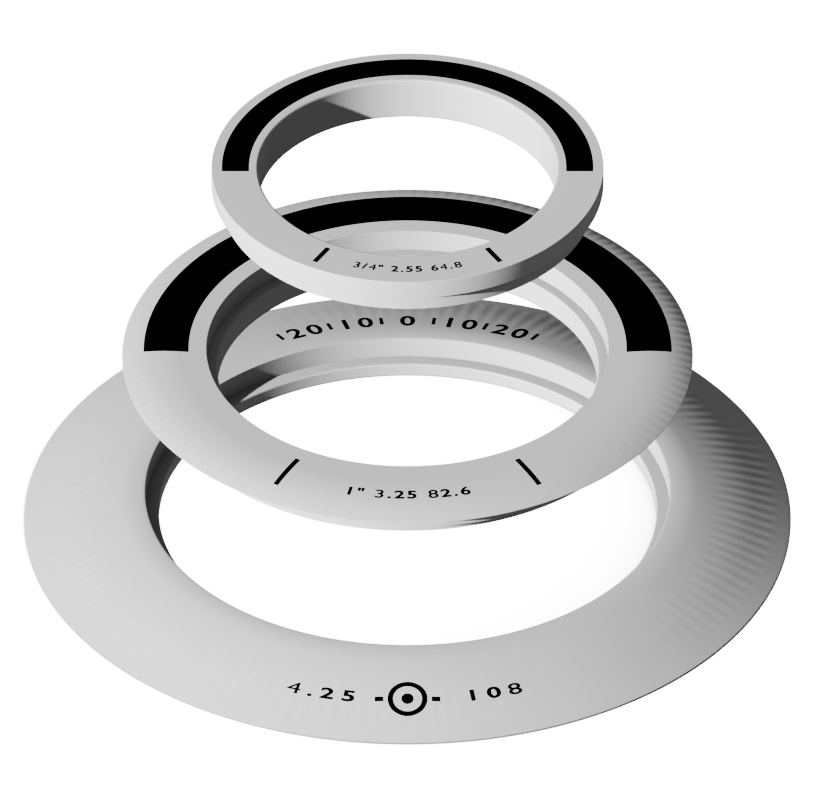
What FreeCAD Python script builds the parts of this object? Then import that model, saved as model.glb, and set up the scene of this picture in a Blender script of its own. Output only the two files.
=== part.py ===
"""Putting cup in three loose rings on one upright axis.

A wide ramp ring lies on the green. Two smaller reducer rings drop into it, one inside the other,
and make the hole smaller. Millimetres, +Z up, origin on the axis at the underside of the ramp ring.
The rings are spread out along the axis, and each one slides straight down into the ring below it.
Every black mark is a thin inlay that lies flush in a recess of its ring. The front is towards -Y.
"""
import FreeCAD, Part
import math
import os

os.makedirs("parts", exist_ok=True)

# Driving dimensions ---------------------------------------------------------------------------
INCH = 25.4
FULL_HOLE = 4.25 * INCH                  # diameter of a regulation hole
ONE_INCH_HOLE = 3.25 * INCH
THREE_QUARTER_HOLE = 2.55 * INCH

RAMP_RIM_R = 83.3                        # where the ramp meets the green
RAMP_CREST_H = 7.8                       # top of the ramp, at the hole
RAMP_SEAT_R = 57.0                       # wide upper part of the hole, out to the crest
RAMP_LEDGE_H = 3.0                       # ledge that carries the one inch reducer

ONE_INCH_H = 10.25                       # from underside to face
ONE_INCH_RIM_R = 62.0                    # feather edge that lies over the ramp's crest
ONE_INCH_RIM_T = 0.15
ONE_INCH_SEAT_R = 43.85                  # counterbore for the three quarter inch reducer

# A crowned face falls from level to its rim. Radius and tilt in degrees, on the way out.
RAMP_FALL = ((RAMP_SEAT_R, 0.0), (62.8, 12.5), (75.0, 20.5), (RAMP_RIM_R, 20.5))
ONE_INCH_FALL = ((49.5, 0.0), (55.5, 7.5), (ONE_INCH_RIM_R, 22.0))

THREE_QUARTER_H = 9.6
THREE_QUARTER_FLANGE_R = 42.6
FLANGE_T = 4.4                           # flange thickness, and the counterbore's depth
THREE_QUARTER_SPIGOT_R = 40.4
LEAD_IN = (1.3, 0.9)                     # chamfer at the spigot's foot: width, height

SEAT_CLEARANCE = 0.45                    # between the ramp's seat and the collar that drops into it
SPIGOT_CLEARANCE = 0.3                   # between the full hole and the spigot that goes through it
CREST_GAP = 0.15                         # under the one inch reducer's flange, at the crest

LIP_ROUND = 0.6
LEDGE_ROUND = 0.4
EDGE_ROUND = 0.15

ONE_INCH_LIFT = 35.85                    # above its place in the ramp ring
THREE_QUARTER_LIFT = 48.35               # above its place in the one inch reducer

INLAY_DEPTH = 0.4
BAND_END_Y = -1.25                       # the half bands stop on this line, just past the middle
GATE_ANGLE = 30.0                        # the gate marks, each side of the front
GATE_WIDTH = 1.1
ONE_INCH_BAND = (47.6, 57.3)             # inner and outer radius of the black half band
THREE_QUARTER_BAND = (34.5, 40.3)
ONE_INCH_NUMERAL_R = 54.0
THREE_QUARTER_NUMERAL_R = 37.65
FRONT_MARK_R = 72.4
NUMERAL_ANGLE = 15.0                     # numerals each side of the target on the ramp ring
AIM_SCALE_R = 65.4
AIM_STEP = 10.0                          # degrees between the numbers of the aiming scale
AIM_STEPS = 2                            # numbers on each side of the nought

# Height over the middles of the strokes, stroke width and spacing of the numerals
RAMP_TYPE = (2.25, 0.65, 2.4)
AIM_TYPE = (4.75, 0.85, 1.05)
ONE_INCH_TYPE = (2.15, 0.5, 1.45)
THREE_QUARTER_TYPE = (1.75, 0.42, 1.32)
AIM_TICK = (3.6, 0.7)                    # length, width

TARGET_R = 4.3
TARGET_DOT_R = 1.3
TARGET_LINE = 1.1
TARGET_WING = (5.3, 7.1)                 # from the middle of the target, on each side

TOUCH = 1e-4                             # two edges this close are the same edge


# Turned rings ---------------------------------------------------------------------------------
def fall(stations, height):
    """Steps outwards down a crowned face that starts at this height: (through, corner) for each
    arc, the corner alone for a straight. Neighbours meet without a kink."""
    steps = []
    for (inner, tilt_in), (outer, tilt_out) in zip(stations, stations[1:]):
        start, end = math.radians(tilt_in), math.radians(tilt_out)
        middle = (start + end) / 2
        corner = (outer, height - (outer - inner) * math.tan(middle))
        if tilt_in == tilt_out:
            steps.append(corner)
        else:
            bend = (outer - inner) / (math.sin(end) - math.sin(start))
            through = (inner + bend * (math.sin(middle) - math.sin(start)),
                       height - bend * (math.cos(start) - math.cos(middle)))
            steps.append((through, corner))
        height = corner[1]
    return steps


def turned(start, *steps):
    """A ring turned from an outline. A step is the next corner, or (through, corner) for an arc."""
    def at(point):
        return FreeCAD.Vector(point[0], 0, point[1])

    edges, here = [], start
    for step in steps + (start,):
        if isinstance(step[0], tuple):
            through, corner = step
            edges.append(Part.Arc(at(here), at(through), at(corner)).toShape())
        else:
            corner = step
            edges.append(Part.LineSegment(at(here), at(corner)).toShape())
        here = corner
    face = Part.Face(Part.Wire(edges))
    return face.revolve(FreeCAD.Vector(0, 0, 0), FreeCAD.Vector(0, 0, 1), 360)


def rounded(solid, radius, *corners):
    """Rounds the circular edges that pass through these corners of the outline."""
    def passes(edge, corner):
        return (isinstance(edge.Curve, Part.Circle)
                and abs(edge.Curve.Radius - corner[0]) < TOUCH
                and abs(edge.Curve.Center.z - corner[1]) < TOUCH)

    edges = [e for e in solid.Edges if any(passes(e, c) for c in corners)]
    return solid.makeFillet(radius, edges)


def ramp_ring():
    hole = FULL_HOLE / 2
    lip, ledge = (RAMP_SEAT_R, RAMP_CREST_H), (hole, RAMP_LEDGE_H)
    ring = turned((hole, 0), ledge, (RAMP_SEAT_R, RAMP_LEDGE_H), lip,
                  *fall(RAMP_FALL, RAMP_CREST_H), (RAMP_RIM_R, 0))
    ring = rounded(ring, EDGE_ROUND, lip)
    return rounded(ring, LEDGE_ROUND, ledge)


def one_inch_reducer():
    hole = ONE_INCH_HOLE / 2
    spigot = FULL_HOLE / 2 - SPIGOT_CLEARANCE
    collar = RAMP_SEAT_R - SEAT_CLEARANCE
    under = RAMP_CREST_H + CREST_GAP
    lip, ledge = (ONE_INCH_SEAT_R, ONE_INCH_H), (hole, ONE_INCH_H - FLANGE_T)
    face = fall(ONE_INCH_FALL, ONE_INCH_H)
    rim_h = face[-1][1][1]
    ring = turned((hole, 0), ledge, (ONE_INCH_SEAT_R, ONE_INCH_H - FLANGE_T), lip,
                  (ONE_INCH_FALL[0][0], ONE_INCH_H), *face, (ONE_INCH_RIM_R, rim_h - ONE_INCH_RIM_T),
                  (collar, under), (collar, RAMP_LEDGE_H), (spigot, RAMP_LEDGE_H), (spigot, 0))
    ring = rounded(ring, EDGE_ROUND, lip)
    ring = rounded(ring, LEDGE_ROUND, ledge)
    return rounded(ring, EDGE_ROUND, (spigot, 0))


def three_quarter_reducer():
    hole = THREE_QUARTER_HOLE / 2
    under = THREE_QUARTER_H - FLANGE_T
    width, height = LEAD_IN
    lip, edge = (hole, THREE_QUARTER_H), (THREE_QUARTER_FLANGE_R, THREE_QUARTER_H)
    ring = turned((hole, 0), lip, edge, (THREE_QUARTER_FLANGE_R, under),
                  (THREE_QUARTER_SPIGOT_R, under), (THREE_QUARTER_SPIGOT_R, height),
                  (THREE_QUARTER_SPIGOT_R - width, 0))
    ring = rounded(ring, LIP_ROUND, lip)
    return rounded(ring, EDGE_ROUND, edge)


# Stencils: upright prisms through the whole ring, whose outline is the mark's ------------------
STENCIL_H = 30.0
UP = FreeCAD.Vector(0, 0, 1)

# Numerals on a cell 1 high: ("bar", x, y, x, y) is a straight stroke, and
# ("bow", centre x, centre y, radius, from degrees, sweep degrees) a round one.
NUMERALS = {
    "0": [("bow", .30, .30, .30, 180, 180), ("bow", .30, .70, .30, 0, 180),
          ("bar", 0, .30, 0, .70), ("bar", .60, .30, .60, .70)],
    "1": [("bar", .12, .80, .36, 1), ("bar", .36, 1, .36, 0)],
    "2": [("bow", .30, .71, .29, -30, 200), ("bar", .551, .565, 0, 0), ("bar", 0, 0, .62, 0)],
    "3": [("bow", .28, .755, .245, -90, 240), ("bow", .28, .255, .255, 200, 250)],
    "4": [("bar", .46, 0, .46, 1), ("bar", .46, 1, 0, .28), ("bar", 0, .28, .64, .28)],
    "5": [("bar", .54, 1, .09, 1), ("bar", .09, 1, .05, .53), ("bow", .28, .31, .31, 200, 285)],
    "6": [("bow", .30, .30, .30, 0, 360), ("bar", .05, .46, .42, 1)],
    "8": [("bow", .30, .755, .245, 0, 360), ("bow", .30, .26, .28, 0, 360)],
    ".": [("bar", .28, 0, .32, 0)],
    "/": [("bar", .12, -.06, .48, 1.06)],
    '"': [("bar", .20, .78, .20, 1), ("bar", .42, .78, .42, 1)],
}
NUMERAL_MIDDLE = 0.30                    # of the cell, to the right of its left edge
WIDE_ADVANCE = 0.88                      # from one numeral to the next, in numeral heights
NARROW_ADVANCE = {".": 0.50, " ": 0.60, "/": 0.62, '"': 0.62}


def bar(x0, y0, x1, y1, width):
    """A straight stroke with round ends."""
    start, end = FreeCAD.Vector(x0, y0, 0), FreeCAD.Vector(x1, y1, 0)
    run = end - start
    box = Part.makeBox(run.Length, width, STENCIL_H, FreeCAD.Vector(0, -width / 2, 0))
    box.rotate(FreeCAD.Vector(0, 0, 0), UP, math.degrees(math.atan2(run.y, run.x)))
    box.translate(start)
    return [box] + [Part.makeCylinder(width / 2, STENCIL_H, p) for p in (start, end)]


def bow(x, y, radius, first, sweep, width):
    """A round stroke with round ends."""
    centre = FreeCAD.Vector(x, y, 0)
    outer = Part.makeCylinder(radius + width / 2, STENCIL_H, centre, UP, sweep)
    sector = outer.cut(Part.makeCylinder(radius - width / 2, STENCIL_H, centre))
    sector.rotate(centre, UP, first)
    ends = []
    for degrees in (first, first + sweep):
        turn = math.radians(degrees)
        end = centre + FreeCAD.Vector(math.cos(turn), math.sin(turn), 0) * radius
        ends.append(Part.makeCylinder(width / 2, STENCIL_H, end))
    return [sector] + (ends if sweep < 360 else [])


def numeral(sign, height, stroke):
    """One numeral, centred on the origin, with its foot towards -Y."""
    pieces = []
    for kind, *values in NUMERALS[sign]:
        if kind == "bar":
            pieces += bar(*[v * height for v in values], stroke)
        else:
            x, y, radius, first, sweep = values
            pieces += bow(x * height, y * height, radius * height, first, sweep, stroke)
    shape = pieces[0].multiFuse(pieces[1:]).removeSplitter()
    shape.translate(FreeCAD.Vector(-NUMERAL_MIDDLE * height, -height / 2, 0))
    return shape


def at_front(shape, radius, degrees):
    """Moves a shape from the origin to this radius, this far round to the right of the front."""
    moved = shape.translated(FreeCAD.Vector(0, -radius, 0))
    return moved.rotated(FreeCAD.Vector(0, 0, 0), UP, degrees)


def at_back(shape, radius, degrees):
    """The same, to the right of the back, still upright for someone who stands at the front."""
    moved = shape.translated(FreeCAD.Vector(0, radius, 0))
    return moved.rotated(FreeCAD.Vector(0, 0, 0), UP, -degrees)


def written(text, place, radius, middle, kind):
    """Numerals that follow a circle, with the middle of the text at this angle."""
    height, stroke, spacing = kind
    advances = [height * spacing * NARROW_ADVANCE.get(sign, WIDE_ADVANCE) for sign in text]
    offset, shapes = -sum(advances) / 2, []
    for sign, advance in zip(text, advances):
        degrees = middle + math.degrees((offset + advance / 2) / radius)
        if sign != " ":
            shapes.append(place(numeral(sign, height, stroke), radius, degrees))
        offset += advance
    return shapes


def tick(length, width):
    """A short radial line whose middle is at the origin."""
    return Part.makeBox(width, length, STENCIL_H, FreeCAD.Vector(-width / 2, -length / 2, 0))


def half_band(inner, outer):
    """Half of a flat ring, round the back, with its ends on one straight line."""
    ring = Part.makeCylinder(outer, STENCIL_H).cut(Part.makeCylinder(inner, STENCIL_H))
    back = Part.makeBox(2 * outer, 2 * outer, STENCIL_H, FreeCAD.Vector(-outer, BAND_END_Y, 0))
    return ring.common(back)


def gate_mark(band, degrees):
    inner, outer = band
    return at_front(tick(outer - inner, GATE_WIDTH), (inner + outer) / 2, degrees)


def target():
    """A plain round target with a short line at each side."""
    inner_r = TARGET_R - TARGET_LINE
    rim = Part.makeCylinder(TARGET_R, STENCIL_H).cut(Part.makeCylinder(inner_r, STENCIL_H))
    start, end = TARGET_WING
    wings = [Part.makeBox(end - start, TARGET_LINE, STENCIL_H, FreeCAD.Vector(x, -TARGET_LINE / 2, 0))
             for x in (start, -end)]
    return [at_front(part, FRONT_MARK_R, 0)
            for part in (rim, Part.makeCylinder(TARGET_DOT_R, STENCIL_H), *wings)]


def aim_scale():
    """Degrees each side of straight on, round the back of the ramp, with a tick between numbers."""
    shapes = []
    for step in range(-AIM_STEPS, AIM_STEPS + 1):
        number = str(int(abs(step) * AIM_STEP))
        shapes += written(number, at_back, AIM_SCALE_R, step * AIM_STEP, AIM_TYPE)
    for gap in range(-AIM_STEPS - 1, AIM_STEPS + 1):
        shapes.append(at_back(tick(*AIM_TICK), AIM_SCALE_R, (gap + 0.5) * AIM_STEP))
    return shapes


# Inlays and recesses --------------------------------------------------------------------------
def inlaid(ring, marks):
    """Cuts each mark's recess in the ring. Returns the ring and the inlays that fill it, by name."""
    lowered = ring.translated(FreeCAD.Vector(0, 0, -INLAY_DEPTH))
    inlays = {}
    for name, stencils in marks.items():
        pieces = [ring.common(stencil).cut(lowered) for stencil in stencils]
        solids = [solid for piece in pieces for solid in piece.Solids]
        inlays[name] = Part.makeCompound(solids)
    cut_ring = ring.cut(Part.makeCompound([s for i in inlays.values() for s in i.Solids]))
    return cut_ring.Solids[0], inlays


def reducer_marks(prefix, band, sizes, radius, kind):
    """The marks of a reducer. Its numerals are the inches that it takes off, then its hole's
    diameter in inches and in millimetres."""
    return {
        prefix + "_half_band": [half_band(*band)],
        prefix + "_left_gate_mark": [gate_mark(band, -GATE_ANGLE)],
        prefix + "_right_gate_mark": [gate_mark(band, GATE_ANGLE)],
        prefix + "_size_numerals": written(sizes, at_front, radius, 0, kind),
    }


def in_place(ring_name, ring, marks, lift):
    """The ring and its inlays as named nodes, raised to where they stand."""
    cut_ring, inlays = inlaid(ring, marks)
    nodes = {ring_name: cut_ring, **inlays}
    return {name: shape.translated(FreeCAD.Vector(0, 0, lift)) for name, shape in nodes.items()}


ramp_marks = {
    "ramp_inch_numerals": written("4.25", at_front, FRONT_MARK_R, -NUMERAL_ANGLE, RAMP_TYPE),
    "ramp_target": target(),
    "ramp_millimetre_numerals": written("108", at_front, FRONT_MARK_R, NUMERAL_ANGLE, RAMP_TYPE),
    "ramp_aim_scale": aim_scale(),
}
one_inch_marks = reducer_marks("one_inch", ONE_INCH_BAND, '1" 3.25 82.6',
                               ONE_INCH_NUMERAL_R, ONE_INCH_TYPE)
three_quarter_marks = reducer_marks("three_quarter", THREE_QUARTER_BAND, '3/4" 2.55 64.8',
                                    THREE_QUARTER_NUMERAL_R, THREE_QUARTER_TYPE)

three_quarter_place = ONE_INCH_LIFT + ONE_INCH_H - THREE_QUARTER_H + THREE_QUARTER_LIFT
nodes = in_place("ramp_ring", ramp_ring(), ramp_marks, 0)
nodes.update(in_place("one_inch_reducer", one_inch_reducer(), one_inch_marks, ONE_INCH_LIFT))
nodes.update(in_place("three_quarter_reducer", three_quarter_reducer(), three_quarter_marks,
                      three_quarter_place))

for name, shape in nodes.items():
    shape.exportStep("parts/" + name + ".step")
    box = shape.BoundBox
    print(f"{name:26s} solids {len(shape.Solids):2d}  volume {shape.Volume:9.1f}  valid {shape.isValid()}"
          f"  z {box.ZMin:6.2f} to {box.ZMax:6.2f}  x {box.XMin:6.2f} to {box.XMax:6.2f}")
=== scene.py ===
# %% [markdown]
# # A putting cup in three loose rings
# A ramp ring lies on the green. Two reducer rings drop into it, one inside the other. Here they
# stand spread out along their axis. Each ring is one turned piece of silver-grey plastic, with
# black marks inlaid flush in its face. The CAD model is loaded first, as a fixed frame that says
# where every ring is. Each piece below is then modelled around it and takes the place of its CAD
# node, because a ring modelled by hand gives control over its edges, its mesh and its finish.

# %% Load the frame
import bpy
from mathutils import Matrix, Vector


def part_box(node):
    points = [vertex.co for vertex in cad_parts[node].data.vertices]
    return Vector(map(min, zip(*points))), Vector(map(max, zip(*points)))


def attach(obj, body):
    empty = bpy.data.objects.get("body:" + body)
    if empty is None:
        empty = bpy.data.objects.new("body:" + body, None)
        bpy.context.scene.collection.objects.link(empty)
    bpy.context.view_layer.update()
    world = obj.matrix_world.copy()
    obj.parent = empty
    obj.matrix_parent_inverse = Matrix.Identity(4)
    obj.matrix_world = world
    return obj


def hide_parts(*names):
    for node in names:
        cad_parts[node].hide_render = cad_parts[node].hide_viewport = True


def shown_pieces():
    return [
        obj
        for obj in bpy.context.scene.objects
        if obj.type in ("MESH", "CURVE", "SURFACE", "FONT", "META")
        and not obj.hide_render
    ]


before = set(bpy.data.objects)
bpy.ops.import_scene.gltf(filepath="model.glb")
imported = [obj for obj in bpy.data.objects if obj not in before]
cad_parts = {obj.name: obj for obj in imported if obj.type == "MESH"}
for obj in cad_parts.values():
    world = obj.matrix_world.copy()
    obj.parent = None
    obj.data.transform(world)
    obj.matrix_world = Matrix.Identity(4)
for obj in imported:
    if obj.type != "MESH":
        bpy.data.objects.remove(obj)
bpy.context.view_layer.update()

# %% Modules, units and a clean selection
import math

import bpy
from mathutils import Vector

MM = 0.001
INCH = 25.4 * MM


def deselect():
    """Leaves edit mode, with nothing selected. The frame's own nodes are selected after loading."""
    if bpy.context.object is not None and bpy.context.object.mode != "OBJECT":
        bpy.ops.object.mode_set(mode="OBJECT")
    bpy.ops.object.select_all(action="DESELECT")


def pick(piece):
    """Makes this piece the only selected one, and the active one."""
    deselect()
    piece.select_set(True)
    bpy.context.view_layer.objects.active = piece
    return piece


deselect()

# %% [markdown]
# ## Sizes
# A turned ring is known by its outline: the radius and height of each corner. The heights and the
# outer radii are read from the frame, so they always agree with the CAD model. What a box can't
# tell, such as the width of a ledge inside a hole, is named here in millimetres.

# %% Heights and outer radii, from the frame
def rise(node):
    """Lowest height, highest height and outer radius of a ring."""
    low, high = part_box(node)
    return low.z, high.z, high.x


ramp_foot, ramp_crest, ramp_rim_r = rise("ramp_ring")
one_foot, one_face, one_rim_r = rise("one_inch_reducer")
three_foot, three_face, three_rim_r = rise("three_quarter_reducer")
print("faces at", [round(z / MM, 2) for z in (ramp_crest, one_face, three_face)], "mm")

# %% What the boxes don't tell
FULL_HOLE_R = 4.25 * INCH / 2
ONE_HOLE_R = 3.25 * INCH / 2
THREE_HOLE_R = 2.55 * INCH / 2
RAMP_SEAT_R = 57.0 * MM
RAMP_LEDGE_H = 3.0 * MM
COLLAR_R = 56.55 * MM
SPIGOT_R = 53.675 * MM
ONE_SEAT_R = 43.7 * MM
ONE_SEAT_DEPTH = 5.0 * MM
ONE_RIM_T = 0.15 * MM
CREST_GAP = 0.15 * MM
FLANGE_T = 4.4 * MM
THREE_SPIGOT_R = 40.4 * MM
LEAD_IN = (1.3 * MM, 0.9 * MM)
LIP_ROUND = 0.6 * MM
LEDGE_ROUND = 0.4 * MM
EDGE_ROUND = 0.15 * MM
SHARP_ROUND = 0.05 * MM

# %% [markdown]
# ## How a ring is turned
# A lathe cuts a ring from its outline. In Blender the same shape can come from a profile and the
# Spin operator, or from a circle that is extruded again and again. The circle is used here: each
# extrusion is moved to the next corner's height and scaled to its radius, so every corner of the
# outline becomes one clean edge loop. Those loops are what the rounding step selects afterwards.

# %% A circle extruded from corner to corner
AROUND = 360


def turned(name, outline):
    """A closed ring from the (radius, height) corners of its outline."""
    deselect()
    radius, height = outline[0]
    bpy.ops.mesh.primitive_circle_add(vertices=AROUND, radius=radius, location=(0, 0, height))
    ring = bpy.context.object
    ring.name = ring.data.name = name
    bpy.ops.object.transform_apply(location=True)
    bpy.ops.object.mode_set(mode="EDIT")
    bpy.ops.mesh.select_all(action="SELECT")
    for here, there in zip(outline, outline[1:]):
        bpy.ops.mesh.extrude_region_move(
            TRANSFORM_OT_translate={"value": (0, 0, there[1] - here[1])})
        widen = there[0] / here[0]
        bpy.ops.transform.resize(value=(widen, widen, 1), center_override=(0, 0, there[1]))
    bpy.ops.mesh.select_mode(type="EDGE")
    bpy.ops.mesh.select_all(action="DESELECT")
    bpy.ops.mesh.select_non_manifold()
    bpy.ops.mesh.bridge_edge_loops()
    bpy.ops.mesh.select_all(action="SELECT")
    bpy.ops.mesh.normals_make_consistent(inside=False)
    deselect()
    return ring


# %% Rounding the edge loops at chosen corners
TOUCH = 0.01 * MM


def rounded(ring, radius, *corners, segments=4):
    """Bevels the edge loops that pass through these (radius, height) corners."""
    pick(ring)
    mesh = ring.data
    at_corner = [any(abs(math.hypot(v.co.x, v.co.y) - r) < TOUCH and abs(v.co.z - z) < TOUCH
                     for r, z in corners) for v in mesh.vertices]
    for face in mesh.polygons:
        face.select = False
    for vertex in mesh.vertices:
        vertex.select = at_corner[vertex.index]
    for edge in mesh.edges:
        edge.select = all(at_corner[i] for i in edge.vertices)
    bpy.ops.object.mode_set(mode="EDIT")
    bpy.ops.mesh.select_mode(type="EDGE")
    bpy.ops.mesh.bevel(offset=radius, segments=segments, profile=0.5, affect="EDGES")
    deselect()


# %% The crowned face of a ring
FALL_LOOPS = 12


def fall(stations, height):
    """Corners down a crowned face, outwards. A station is a radius and the tilt there, in degrees.
    Between two of them runs an arc, or a straight where the tilt stays the same."""
    corners = []
    for (inner, tilt_in), (outer, tilt_out) in zip(stations, stations[1:]):
        start, end = math.radians(tilt_in), math.radians(tilt_out)
        for loop in range(1, FALL_LOOPS + 1):
            share = loop / FALL_LOOPS
            tilt = math.asin(math.sin(start) + (math.sin(end) - math.sin(start)) * share)
            run = (outer - inner) * share
            corners.append((inner + run, height - run * math.tan((start + tilt) / 2)))
        height = corners[-1][1]
    return corners


SMOOTH_ANGLE = math.radians(28)          # edges sharper than this stay crisp


def finished(ring, body, node):
    """Smooths the ring's round faces, keeps its corners crisp and puts it on its body."""
    pick(ring)
    bpy.ops.object.shade_smooth_by_angle(angle=SMOOTH_ANGLE)
    level = ring.modifiers.new("level", "WEIGHTED_NORMAL")
    level.mode, level.keep_sharp = "FACE_AREA", True
    bpy.ops.object.modifier_apply(modifier=level.name)
    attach(ring, body)
    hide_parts(node)
    print(ring.name, "has", len(ring.data.polygons), "faces and rides on", body)


# %% [markdown]
# ## The ramp ring
# A golf ball rolls up the ramp and over the lip. The ramp is level at the lip, bends down quickly,
# and runs out nearly straight to the green, where a blunt edge keeps it from chipping. The hole
# has a step in it: the ledge carries the one inch reducer.

# %% Turn the ramp ring
RAMP_FALL = ((RAMP_SEAT_R, 0.0), (62.8 * MM, 12.5), (75.0 * MM, 20.5), (ramp_rim_r, 20.5))
ramp_lip = (RAMP_SEAT_R, ramp_crest)
ramp_ledge = (FULL_HOLE_R, ramp_foot + RAMP_LEDGE_H)
ramp_fall = fall(RAMP_FALL, ramp_crest)
ramp_edge = ramp_fall[-1]
ramp = turned("ramp_ring_body", [
    (FULL_HOLE_R, ramp_foot), ramp_ledge, (RAMP_SEAT_R, ramp_ledge[1]), ramp_lip,
    *ramp_fall, (ramp_rim_r, ramp_foot)])
rounded(ramp, LEDGE_ROUND, ramp_ledge)
rounded(ramp, SHARP_ROUND, ramp_lip, segments=2)
rounded(ramp, EDGE_ROUND, ramp_edge, segments=3)
finished(ramp, "ramp", "ramp_ring")

# %% [markdown]
# ## The one inch reducer
# Its face is flat round the hole and then bends down to a feather edge, which lies over the ramp's
# crest. Under the flange a collar stands on the ramp's ledge, and a spigot goes on down into the
# hole. The counterbore inside is the seat of the next ring.

# %% Turn the one inch reducer
ONE_FALL = ((49.5 * MM, 0.0), (55.5 * MM, 7.5), (one_rim_r, 22.0))
one_lip = (ONE_SEAT_R, one_face)
one_ledge = (ONE_HOLE_R, one_face - ONE_SEAT_DEPTH)
one_shelf = one_foot + RAMP_LEDGE_H
one_under = one_foot + (ramp_crest - ramp_foot) + CREST_GAP
one_spigot_foot = (SPIGOT_R, one_foot)
one_fall = fall(ONE_FALL, one_face)
one_rim = one_fall[-1]
one_inch = turned("one_inch_reducer_body", [
    (ONE_HOLE_R, one_foot), one_ledge, (ONE_SEAT_R, one_ledge[1]), one_lip,
    (ONE_FALL[0][0], one_face), *one_fall, (one_rim_r, one_rim[1] - ONE_RIM_T),
    (COLLAR_R, one_under), (COLLAR_R, one_shelf), (SPIGOT_R, one_shelf), one_spigot_foot])
rounded(one_inch, LEDGE_ROUND, one_ledge)
rounded(one_inch, SHARP_ROUND, one_lip, segments=2)
rounded(one_inch, EDGE_ROUND, one_spigot_foot, segments=3)
finished(one_inch, "one_inch", "one_inch_reducer")

# %% [markdown]
# ## The three quarter inch reducer
# The smallest ring has a flat face. Its flange fills the counterbore, its spigot hangs inside the
# one inch reducer's hole, and a chamfer at the foot helps it find the way.

# %% Turn the three quarter inch reducer
three_under = three_face - FLANGE_T
three_lip, three_edge = (THREE_HOLE_R, three_face), (three_rim_r, three_face)
three_quarter = turned("three_quarter_reducer_body", [
    (THREE_HOLE_R, three_foot), three_lip, three_edge, (three_rim_r, three_under),
    (THREE_SPIGOT_R, three_under), (THREE_SPIGOT_R, three_foot + LEAD_IN[1]),
    (THREE_SPIGOT_R - LEAD_IN[0], three_foot)])
rounded(three_quarter, LIP_ROUND, three_lip, segments=6)
rounded(three_quarter, EDGE_ROUND, three_edge, (three_rim_r, three_under), segments=3)
finished(three_quarter, "three_quarter", "three_quarter_reducer")

# %% [markdown]
# ## How a mark is inlaid
# Each black mark is a thin tile let into its ring. It starts as a flat shape above the ring. The
# shape is sliced into a fine grid, because a large flat face couldn't follow the crowned surface.
# Shrinkwrap then drops it onto the ring, and Solidify gives it its depth, down into the plastic.
# The tile stands two hundredths of a millimetre proud, as a real inlay does after cooling.

# %% Slice a flat shape
GRID = 1.0 * MM


def sliced(mark):
    """Cuts a flat shape along a fine square grid."""
    pick(mark)
    corners = [v.co.copy() for v in mark.data.vertices]
    bpy.ops.object.mode_set(mode="EDIT")
    for axis in (0, 1):
        low, high = min(c[axis] for c in corners), max(c[axis] for c in corners)
        across = Vector((1 - axis, axis, 0))
        for i in range(1, int((high - low) / GRID) + 1):
            bpy.ops.mesh.select_all(action="SELECT")
            bpy.ops.mesh.bisect(plane_co=across * (low + i * GRID), plane_no=across)
    bpy.ops.mesh.select_all(action="SELECT")
    bpy.ops.mesh.dissolve_degenerate(threshold=TOUCH)
    bpy.ops.mesh.select_all(action="SELECT")
    bpy.ops.mesh.delete_loose()
    deselect()
    return mark


# %% Drop it on its ring and give it depth
PROUD = 0.02 * MM
INLAY_DEPTH = 0.4 * MM
HOVER = 5 * MM


def inlaid(mark, ring, body, node):
    """Drops a flat shape on its ring, gives it depth and puts it on the ring's body."""
    top = max(v.co.z for v in ring.data.vertices)
    pick(mark)
    mark.location.z = top + HOVER
    bpy.ops.object.transform_apply(location=True, rotation=True, scale=True)
    drop = mark.modifiers.new("drop", "SHRINKWRAP")
    drop.wrap_method, drop.target, drop.offset = "PROJECT", ring, PROUD
    drop.use_project_z, drop.use_positive_direction = True, False
    drop.use_negative_direction = True
    bpy.ops.object.modifier_apply(modifier=drop.name)
    depth = mark.modifiers.new("depth", "SOLIDIFY")
    depth.thickness, depth.offset = INLAY_DEPTH, -1
    bpy.ops.object.modifier_apply(modifier=depth.name)
    bpy.ops.object.mode_set(mode="EDIT")
    bpy.ops.mesh.select_all(action="SELECT")
    bpy.ops.mesh.normals_make_consistent(inside=False)
    bpy.ops.object.mode_set(mode="OBJECT")
    bpy.ops.object.shade_smooth_by_angle(angle=SMOOTH_ANGLE)
    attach(mark, body)
    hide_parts(node)
    print(mark.name, "has", len(mark.data.polygons), "faces on", ring.name)


# %% Turn a flat shape to look up
def face_up(mark):
    """Turns each face of a flat shape to look up."""
    pick(mark)
    bpy.ops.object.mode_set(mode="EDIT")
    bpy.ops.mesh.select_mode(type="FACE")
    bpy.ops.mesh.select_all(action="DESELECT")
    bpy.ops.object.mode_set(mode="OBJECT")
    for face in mark.data.polygons:
        face.select = face.normal.z < 0
    bpy.ops.object.mode_set(mode="EDIT")
    bpy.ops.mesh.flip_normals()
    bpy.ops.mesh.select_mode(type="EDGE")
    deselect()
    return mark


def set_round(mark, radius, degrees):
    """Carries a shape from the origin out to this radius, and round to the right of the front.
    A negative radius and angle go to the back, where the shape stays upright from the front."""
    turn = math.radians(degrees)
    mark.location = (radius * math.sin(turn), -radius * math.cos(turn), 0)
    mark.rotation_euler.z = turn
    pick(mark)
    bpy.ops.object.transform_apply(location=True, rotation=True, scale=True)
    return mark


# %% [markdown]
# ## Half bands and gate marks
# The wide black arc marks the back half of each reducer, and the two short lines at the front are
# the gate that a centred putt rolls through. The band is a circle extruded outwards step by step,
# and each end is cut off along a straight line. On the one inch reducer those cuts run back a
# little towards the rim, so that they look straight across the falling face. A gate mark is a
# plane stretched and turned into place.

# %% Half bands
BAND_END_Y = -1.25 * MM
BAND_STEP = 1.0 * MM
ONE_BAND = (47.6 * MM, 57.3 * MM)
THREE_BAND = (34.5 * MM, 40.3 * MM)
ONE_SLANT, THREE_SLANT = 0.1, 0.0


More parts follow.
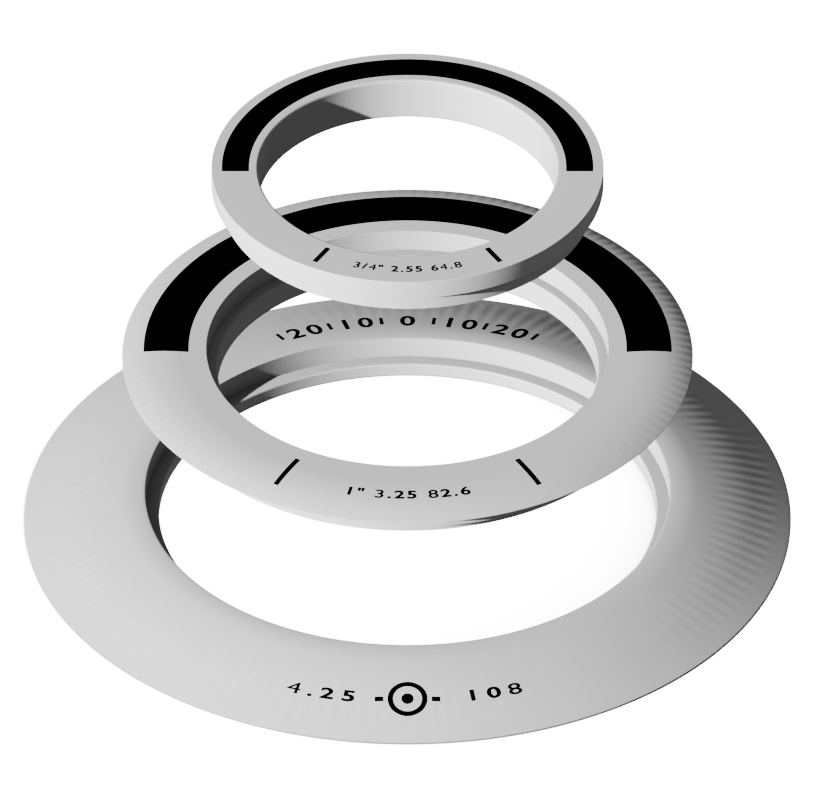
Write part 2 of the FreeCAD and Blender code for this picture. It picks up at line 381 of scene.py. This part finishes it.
def half_band(name, band, slant):
    """A flat ring from one radius to the other, with the front half cut away. The slant is how far
    the cuts run back, for each unit that they run out."""
    deselect()
    inner, outer = band
    steps = round((outer - inner) / BAND_STEP)
    radii = [inner + (outer - inner) * i / steps for i in range(steps + 1)]
    bpy.ops.mesh.primitive_circle_add(vertices=AROUND, radius=inner)
    arc = bpy.context.object
    arc.name = arc.data.name = name
    bpy.ops.object.mode_set(mode="EDIT")
    bpy.ops.mesh.select_all(action="SELECT")
    for here, there in zip(radii, radii[1:]):
        bpy.ops.mesh.extrude_region_move()
        bpy.ops.transform.resize(value=(there / here, there / here, 1))
    for side in (-1, 1):
        bpy.ops.mesh.select_all(action="SELECT")
        bpy.ops.mesh.bisect(plane_co=(side * inner, BAND_END_Y, 0), plane_no=(-side * slant, 1, 0),
                            clear_inner=True, threshold=TOUCH)
    bpy.ops.mesh.select_all(action="SELECT")
    bpy.ops.mesh.delete_loose()
    bpy.ops.mesh.select_all(action="SELECT")
    bpy.ops.mesh.normals_make_consistent(inside=False)
    deselect()
    return face_up(arc)


reducers = ((one_inch, "one_inch", ONE_BAND, ONE_SLANT),
            (three_quarter, "three_quarter", THREE_BAND, THREE_SLANT))
for ring, body, band, slant in reducers:
    inlaid(half_band(body + "_band_inlay", band, slant), ring, body, body + "_half_band")

# %% Gate marks
GATE_ANGLE = 30
GATE_WIDTH = 1.1 * MM


def line(width, length, middle=0.0):
    """A flat line across the origin, or beside it."""
    deselect()
    bpy.ops.mesh.primitive_plane_add(size=1, location=(middle, 0, 0))
    mark = bpy.context.object
    mark.scale = (width, length, 1)
    bpy.ops.object.transform_apply(location=True, scale=True)
    return mark


for ring, body, band, _ in reducers:
    for side, degrees in (("left", -GATE_ANGLE), ("right", GATE_ANGLE)):
        mark = set_round(line(GATE_WIDTH, band[1] - band[0]), sum(band) / 2, degrees)
        mark.name = mark.data.name = f"{body}_{side}_gate_inlay"
        inlaid(sliced(mark), ring, body, f"{body}_{side}_gate_mark")

# %% [markdown]
# ## Numerals
# The sizes are plain numerals that follow a circle. A text object has good letter shapes, so each
# numeral is one, made heavier with the curve's offset, turned into a mesh and moved into place.
# The numerals at the front are read from the front, and so are those of the scale at the back.

# %% Numerals on a circle
CAP_HEIGHT = 0.72                        # of a numeral, in the font's own size
WIDE = 0.88
NARROW = {".": 0.50, " ": 0.60, "/": 0.62, '"': 0.62}
LIGHTER = {"3": 0.35, "4": 0.0, "6": 0.7, "8": 0.35}    # more would close their small counters


def numeral(sign, height, weight, stretch):
    """One numeral as a flat mesh, its middle at the origin. It is written a thousand times too
    large and then scaled down, because filling its outline needs room."""
    deselect()
    weight *= LIGHTER.get(sign, 1)
    bpy.ops.object.text_add()
    text = bpy.context.object
    text.data.body = sign
    text.data.size = (height - 2 * weight) / CAP_HEIGHT / MM
    text.data.offset = weight / MM
    text.data.align_x = "CENTER"
    text.data.resolution_u = 8
    bpy.ops.object.convert(target="MESH")
    mesh = bpy.context.object
    mesh.location.y = weight - height / 2
    mesh.scale = (stretch * MM, MM, MM)
    bpy.ops.object.transform_apply(location=True, scale=True)
    return mesh


def written(text, radius, middle, kind, back=False):
    """Numerals round a circle, with the middle of the text at this angle."""
    height, weight, stretch, spacing = kind
    advances = [height * spacing * NARROW.get(sign, WIDE) for sign in text]
    offset, signs = -sum(advances) / 2, []
    for sign, advance in zip(text, advances):
        degrees = middle + math.degrees((offset + advance / 2) / radius)
        if sign != " ":
            mark = numeral(sign, height, weight, stretch)
            signs.append(set_round(mark, -radius, -degrees) if back else
                         set_round(mark, radius, degrees))
        offset += advance
    return signs


def joined(name, marks):
    """Several flat shapes as one piece."""
    deselect()
    for mark in marks:
        mark.select_set(True)
    bpy.context.view_layer.objects.active = marks[0]
    bpy.ops.object.join()
    whole = bpy.context.object
    whole.name = whole.data.name = name
    return face_up(sliced(whole))


# %% Size numerals on the reducers
# Each kind of numeral is its height, added weight, stretch and spacing.
SIZES = (
    (one_inch, "one_inch", '1" 3.25 82.6', 54.0 * MM, (2.7 * MM, 0.09 * MM, 1.3, 1.155)),
    (three_quarter, "three_quarter", '3/4" 2.55 64.8', 37.65 * MM, (2.2 * MM, 0.07 * MM, 1.15, 1.05)),
)
for ring, body, text, radius, kind in SIZES:
    marks = written(text, radius, 0, kind)
    inlaid(joined(body + "_numeral_inlay", marks), ring, body, body + "_size_numerals")

# %% Numerals on the front of the ramp
FRONT_MARK_R = 72.4 * MM
NUMERAL_ANGLE = 15
RAMP_TYPE = (2.9 * MM, 0.10 * MM, 1.65, 1.86)
for name, text, side in (("inch", "4.25", -1), ("millimetre", "108", 1)):
    marks = written(text, FRONT_MARK_R, side * NUMERAL_ANGLE, RAMP_TYPE)
    inlaid(joined(f"ramp_{name}_inlay", marks), ramp, "ramp", f"ramp_{name}_numerals")

# %% The target on the front of the ramp
TARGET_R, TARGET_LINE, TARGET_DOT_R = 4.3 * MM, 1.1 * MM, 1.3 * MM
TARGET_WING = (5.3 * MM, 7.1 * MM)
DISC_SIDES = 72


def disc(radius, hole=0.0):
    """A flat disc, or a flat ring."""
    deselect()
    bpy.ops.mesh.primitive_circle_add(vertices=DISC_SIDES, radius=radius, fill_type="NGON")
    if hole:
        bpy.ops.object.mode_set(mode="EDIT")
        bpy.ops.mesh.inset(thickness=radius - hole)
        bpy.ops.mesh.delete(type="FACE")
    deselect()
    return bpy.context.view_layer.objects.active


wing_middle, wing_length = sum(TARGET_WING) / 2, TARGET_WING[1] - TARGET_WING[0]
shapes = [disc(TARGET_R, TARGET_R - TARGET_LINE), disc(TARGET_DOT_R)]
shapes += [line(wing_length, TARGET_LINE, side * wing_middle) for side in (-1, 1)]
marks = [set_round(shape, FRONT_MARK_R, 0) for shape in shapes]
inlaid(joined("ramp_target_inlay", marks), ramp, "ramp", "ramp_target")

# %% The aiming scale on the back of the ramp
AIM_SCALE_R, AIM_STEP, AIM_STEPS = 65.4 * MM, 10, 2
AIM_TYPE = (5.6 * MM, 0.13 * MM, 0.9, 0.89)
TICK = (0.7 * MM, 3.6 * MM)
marks = []
for step in range(-AIM_STEPS, AIM_STEPS + 1):
    marks += written(str(abs(step) * AIM_STEP), AIM_SCALE_R, step * AIM_STEP, AIM_TYPE, back=True)
for gap in range(-AIM_STEPS - 1, AIM_STEPS + 1):
    marks.append(set_round(line(*TICK), -AIM_SCALE_R, -(gap + 0.5) * AIM_STEP))
inlaid(joined("ramp_scale_inlay", marks), ramp, "ramp", "ramp_aim_scale")

# %% [markdown]
# ## Shader maths
# A finish below is a sum of small effects. Written as Python expressions it stays readable, so one
# class wraps a socket and turns + - * into Math nodes. Every other node is added by one method,
# which sets the node up first and then gives its sockets their values or links.

# %% Nodes, and sockets that add up
class Nodes:
    """A node tree that nodes are added to."""

    def __init__(self, tree):
        self.tree = tree

    def add(self, kind, settings, inputs, output=0):
        """Adds a node and returns one of its outputs."""
        made = self.tree.nodes.new(kind)
        for name, setting in settings.items():
            setattr(made, name, setting)
        for name, value in inputs.items():
            self.give(made.inputs[name], value)
        return Value(self, made.outputs[output])

    def give(self, socket, value):
        """Links a value to a socket, or sets a constant on it."""
        if isinstance(value, Value):
            self.tree.links.new(value.socket, socket)
        else:
            socket.default_value = value


class Value:
    """A socket with arithmetic."""

    def __init__(self, nodes, socket):
        self.nodes, self.socket = nodes, socket

    def maths(self, operation, *values):
        """A Math node on these values."""
        return self.nodes.add("ShaderNodeMath", {"operation": operation}, dict(enumerate(values)))

    def __add__(self, other):
        return self.maths("ADD", self, other)

    def __sub__(self, other):
        return self.maths("SUBTRACT", self, other)

    def __rsub__(self, other):
        return self.maths("SUBTRACT", other, self)

    def __mul__(self, other):
        return self.maths("MULTIPLY", self, other)

    __radd__, __rmul__ = __add__, __mul__

    def between(self, low, high):
        """0 at low, 1 at high, smooth in between."""
        return self.nodes.add("ShaderNodeMapRange", {"interpolation_type": "SMOOTHSTEP"},
                              {"Value": self, "From Min": low, "From Max": high})


def new_material(name):
    """An empty material: itself, its nodes and the sockets of its Principled BSDF."""
    material = bpy.data.materials.new(name)
    material.use_nodes = True
    return material, Nodes(material.node_tree), material.node_tree.nodes["Principled BSDF"].inputs


print("shader maths ready")

# %% [markdown]
# ## Silver-grey plastic
# The rings are satin plastic. Its colour isn't quite even: there is slow mottling from the mould
# and a fine speckle, which also roughens the gloss. The crowned slopes are very slightly faceted by
# the tool that cut the mould, a hundred and fifty facets to the turn. Each leans a little in or
# out, so they show as fine radial streaks where the light grazes the slope and vanish elsewhere. A
# bump map would tilt them sideways instead, so the surface normal is leaned outwards directly. The
# flat ring has none.
# A line of painted shade darkens the ring near chosen edges, the foot of each hole and the ramp's blunt
# outer edge, which is a mask on the distance to the edge's circle.

# %% Grain, mottling and the place on the ring
MOTTLE = {"Scale": 25.0, "Detail": 3.0}
GRAIN = {"Scale": 1400.0, "Detail": 2.0}


def surface(nodes):
    """Object coordinates, slow mottling and fine grain, shared by both plastics."""
    place = nodes.add("ShaderNodeTexCoord", {}, {}, "Object")
    mottle, grain = (nodes.add("ShaderNodeTexNoise", {}, {"Vector": place, **noise}, "Fac")
                     for noise in (MOTTLE, GRAIN))
    return place, mottle, grain


def bumped(nodes, height, normal=None):
    """A normal with this relief, in metres."""
    inputs = {"Strength": 1.0, "Distance": 1.0, "Height": height}
    if normal is not None:
        inputs["Normal"] = normal
    return nodes.add("ShaderNodeBump", {}, inputs, "Normal")


# %% The facets of a crowned slope
FACETS = 150
FACET_LEAN = 0.028
FACET_WANDER = 3.0


def faceted(nodes, zone, place, mottle):
    """The surface normal, leaned in and out by facets. They lie between the first and last radius
    of the zone and are strongest between the middle two."""
    x, y = (nodes.add("ShaderNodeSeparateXYZ", {}, {"Vector": place}, axis) for axis in "XY")
    flat = nodes.add("ShaderNodeVectorMath", {"operation": "MULTIPLY"}, {0: place, 1: (1, 1, 0)})
    radius = nodes.add("ShaderNodeVectorMath", {"operation": "LENGTH"}, {0: flat}, "Value")
    outwards = nodes.add("ShaderNodeVectorMath", {"operation": "NORMALIZE"}, {0: flat})
    start, full, fading, end = zone
    strength = radius.between(start, full) * (1 - radius.between(fading, end))
    turns = x.maths("ARCTAN2", y, x) * FACETS + mottle * FACET_WANDER
    lean = turns.maths("SINE", turns) * strength * FACET_LEAN
    normal = nodes.add("ShaderNodeTexCoord", {}, {}, "Normal")
    leaning = nodes.add("ShaderNodeVectorMath", {"operation": "SCALE"}, {0: outwards, "Scale": lean})
    leant = nodes.add("ShaderNodeVectorMath", {"operation": "ADD"}, {0: normal, 1: leaning})
    return nodes.add("ShaderNodeVectorTransform", {
        "vector_type": "NORMAL", "convert_from": "OBJECT", "convert_to": "WORLD"}, {"Vector": leant})


# %% The plastic of one ring
GREY, COOLNESS = 0.5, 1.004
MOTTLED, SPECKLED = 0.02, 0.05           # how far mottling and grain change the grey
GLOSS = (0.38, 0.10, 0.06)               # least roughness, and what mottling and grain add
GRAIN_RELIEF = 0.006 * MM
# painted shade: how much the chosen edges are darkened, and how far from them it reaches
PAINTED_EDGE_SHADE, EDGE_SHADE_REACH = 0.45, (0.35 * MM, 0.15 * MM)


def ring_plastic(name, edges, facet_zone=None):
    """Silver-grey plastic, with facets in a zone. Edges are (radius, height) circles that get a line of
    painted shade.
    """
    material, nodes, sockets = new_material(name)
    place, mottle, grain = surface(nodes)
    facets = faceted(nodes, facet_zone, place, mottle) if facet_zone else None
    nodes.give(sockets["Normal"], bumped(nodes, grain * GRAIN_RELIEF, facets))

    x, y, z = (nodes.add("ShaderNodeSeparateXYZ", {}, {"Vector": place}, axis) for axis in "XYZ")
    radius = x.maths("SQRT", x * x + y * y)
    tone_and_edge_shade = (mottle - 0.5) * MOTTLED + (grain - 0.5) * SPECKLED + 1.0
    # painted shade along each edge circle, laid over the mottled and speckled grey
    for edge_radius, edge_height in edges:
        across, up = radius - edge_radius, z - edge_height
        away = across.maths("SQRT", across * across + up * up)
        tone_and_edge_shade = tone_and_edge_shade * (1 - away.between(*EDGE_SHADE_REACH) * PAINTED_EDGE_SHADE)
    red, blue = tone_and_edge_shade * GREY, tone_and_edge_shade * (GREY * COOLNESS)
    colour = nodes.add("ShaderNodeCombineColor", {}, {"Red": red, "Green": red, "Blue": blue}, "Color")
    nodes.give(sockets["Base Color"], colour)
    least, from_mottle, from_grain = GLOSS
    nodes.give(sockets["Roughness"], mottle * from_mottle + grain * from_grain + least)
    sockets["Specular IOR Level"].default_value = 0.35
    return material


def paint(piece, material):
    """Makes this the piece's only material."""
    piece.data.materials.clear()
    piece.data.materials.append(material)


# %% Finish the rings
RAMP_ZONE = (64 * MM, 71 * MM, 78 * MM, 81.5 * MM)
ONE_ZONE = (56 * MM, 60 * MM, 61.5 * MM, 62.3 * MM)
# the feet of the holes, and the ramp's blunt outer edge, get a line of painted shade
ramp_shaded_edges = [(ramp_rim_r, ramp_edge[1] / 2), (FULL_HOLE_R, ramp_foot)]
paint(ramp, ring_plastic("ramp_plastic", ramp_shaded_edges, RAMP_ZONE))
paint(one_inch, ring_plastic("one_inch_plastic", [(ONE_HOLE_R, one_foot)], ONE_ZONE))
paint(three_quarter, ring_plastic("three_quarter_plastic", [(THREE_HOLE_R, three_foot)]))
print("three ring finishes")

# %% [markdown]
# ## Black inlay
# The marks are matt black plastic. A faint grain keeps them from looking like holes.

# %% The marks' plastic
DARKEST, GRAIN_TONE = 0.003, 0.004


def mark_plastic():
    """Matt black plastic."""
    material, nodes, sockets = new_material("mark_black")
    _, mottle, grain = surface(nodes)
    dark = grain * GRAIN_TONE + DARKEST
    colour = nodes.add("ShaderNodeCombineColor", {}, {"Red": dark, "Green": dark, "Blue": dark}, "Color")
    nodes.give(sockets["Base Color"], colour)
    nodes.give(sockets["Roughness"], mottle * 0.15 + 0.6)
    nodes.give(sockets["Normal"], bumped(nodes, grain * GRAIN_RELIEF))
    sockets["Specular IOR Level"].default_value = 0.0
    return material


black = mark_plastic()
inlays = [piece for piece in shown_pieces() if piece.name.endswith("_inlay")]
for inlay in inlays:
    paint(inlay, black)
print("black inlays:", len(inlays))

# %% [markdown]
# ## The studio
# The rings float one above another, so in plain light each would throw a hard shadow on the next
# and hide its marks. Product pictures avoid that by lighting each part on its own. Blender can do
# the same with light linking: a light may name the objects that it lights, and the objects that
# may block it. Here every ring has its own key light, all from the same low direction, left and
# front. A ring still shades itself, which shows its steps, but never its neighbour.

# %% Suns that light only what they name
def towards(turn, rise):
    """Unit vector to something turned clockwise from the front and raised, both in degrees."""
    turn, rise = math.radians(turn), math.radians(rise)
    return Vector((-math.sin(turn) * math.cos(rise), -math.cos(turn) * math.cos(rise), math.sin(rise)))


def linked_sun(name, direction, energy, spread, lit, blockers):
    """A sun that lights, and is blocked by, only the objects given."""
    deselect()
    bpy.ops.object.light_add(type="SUN")
    sun = bpy.context.object
    sun.name = name
    sun.rotation_euler = direction.to_track_quat("Z", "Y").to_euler()
    sun.data.energy, sun.data.angle = energy, math.radians(spread)
    sun.data.cycles.max_bounces = 0
    for role, objects in (("receiver_collection", lit), ("blocker_collection", blockers)):
        group = bpy.data.collections.new(f"{name}_{role}")
        for thing in objects:
            group.objects.link(thing)
        setattr(sun.light_linking, role, group)
    return sun


# %% A key light for each ring
LIGHT_TURN, LIGHT_RISE = 54, 20
KEY_ENERGY, KEY_SPREAD = 7.2, 1.5
for body in ("ramp", "one_inch", "three_quarter"):
    family = [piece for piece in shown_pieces() if piece.name.startswith(body)]
    linked_sun(body + "_key_light", towards(LIGHT_TURN, LIGHT_RISE), KEY_ENERGY, KEY_SPREAD,
               family, family)
    print(body, "light reaches", len(family), "pieces")

# %% [markdown]
# ## Floor and surroundings
# The floor is white and glows a little. It has a soft light of its own, from the right, that only
# the ramp ring blocks, so there is a faint shadow where the ring meets the floor. The floor is
# hidden from the rings, and they see only an even dim grey, which fills their shaded sides.

# %% Floor
FLOOR_GAP = 0.05 * MM
FLOOR_GLOW, FLOOR_ENERGY, FLOOR_SPREAD = 1.6, 8.0, 50
FLOOR_LIGHT = towards(-50, 45)
deselect()
bpy.ops.mesh.primitive_plane_add(size=8, location=(0, 0, ramp_foot - FLOOR_GAP))
floor = bpy.context.object
floor.name = "studio_floor"
material, nodes, sockets = new_material("white_floor")
sockets["Base Color"].default_value = (0.8, 0.8, 0.8, 1)
sockets["Roughness"].default_value = 1.0
sockets["Specular IOR Level"].default_value = 0.0
sockets["Emission Color"].default_value = (1, 1, 1, 1)
sockets["Emission Strength"].default_value = FLOOR_GLOW
paint(floor, material)
floor.visible_diffuse = floor.visible_glossy = False
linked_sun("floor_light", FLOOR_LIGHT, FLOOR_ENERGY, FLOOR_SPREAD, [floor], [ramp])
print("floor at", round(floor.location.z / MM, 2), "mm")

# %% Surroundings
AMBIENT, BACKDROP = 0.2, 4.0
world = bpy.data.worlds.new("studio")
bpy.context.scene.world = world
world.use_nodes = True
nodes = Nodes(world.node_tree)
seen = nodes.add("ShaderNodeLightPath", {}, {}, "Is Camera Ray")
backdrop = world.node_tree.nodes["Background"].inputs
backdrop["Color"].default_value = (1, 1, 1, 1)
nodes.give(backdrop["Strength"], seen * (BACKDROP - AMBIENT) + AMBIENT)
print("even light", AMBIENT)

# %% [markdown]
# ## Camera
# The camera is orthographic, so the three rings keep one scale although they stand at different
# heights. It looks down at the rings from the front. The AgX view with its strongest contrast
# rolls the bright side of the plastic off softly and keeps the marks a deep black.

# %% Camera
ELEVATION = 35.73
VIEW_WIDTH = 178.76 * MM
LOOK_AT = Vector((0.87, 0, 32.3)) * MM
CAMERA_DISTANCE, CAMERA_REACH = 1.5, 20
back = towards(0, ELEVATION)
deselect()
bpy.ops.object.camera_add(location=LOOK_AT + back * CAMERA_DISTANCE)
camera = bpy.context.object
camera.rotation_euler = back.to_track_quat("Z", "Y").to_euler()
camera.data.type = "ORTHO"
camera.data.ortho_scale = VIEW_WIDTH
camera.data.clip_end = CAMERA_REACH
bpy.context.scene.camera = camera
bpy.context.scene.view_settings.view_transform = "AgX"
bpy.context.scene.view_settings.look = "AgX - Very High Contrast"
print("camera at", tuple(round(c, 3) for c in camera.location))
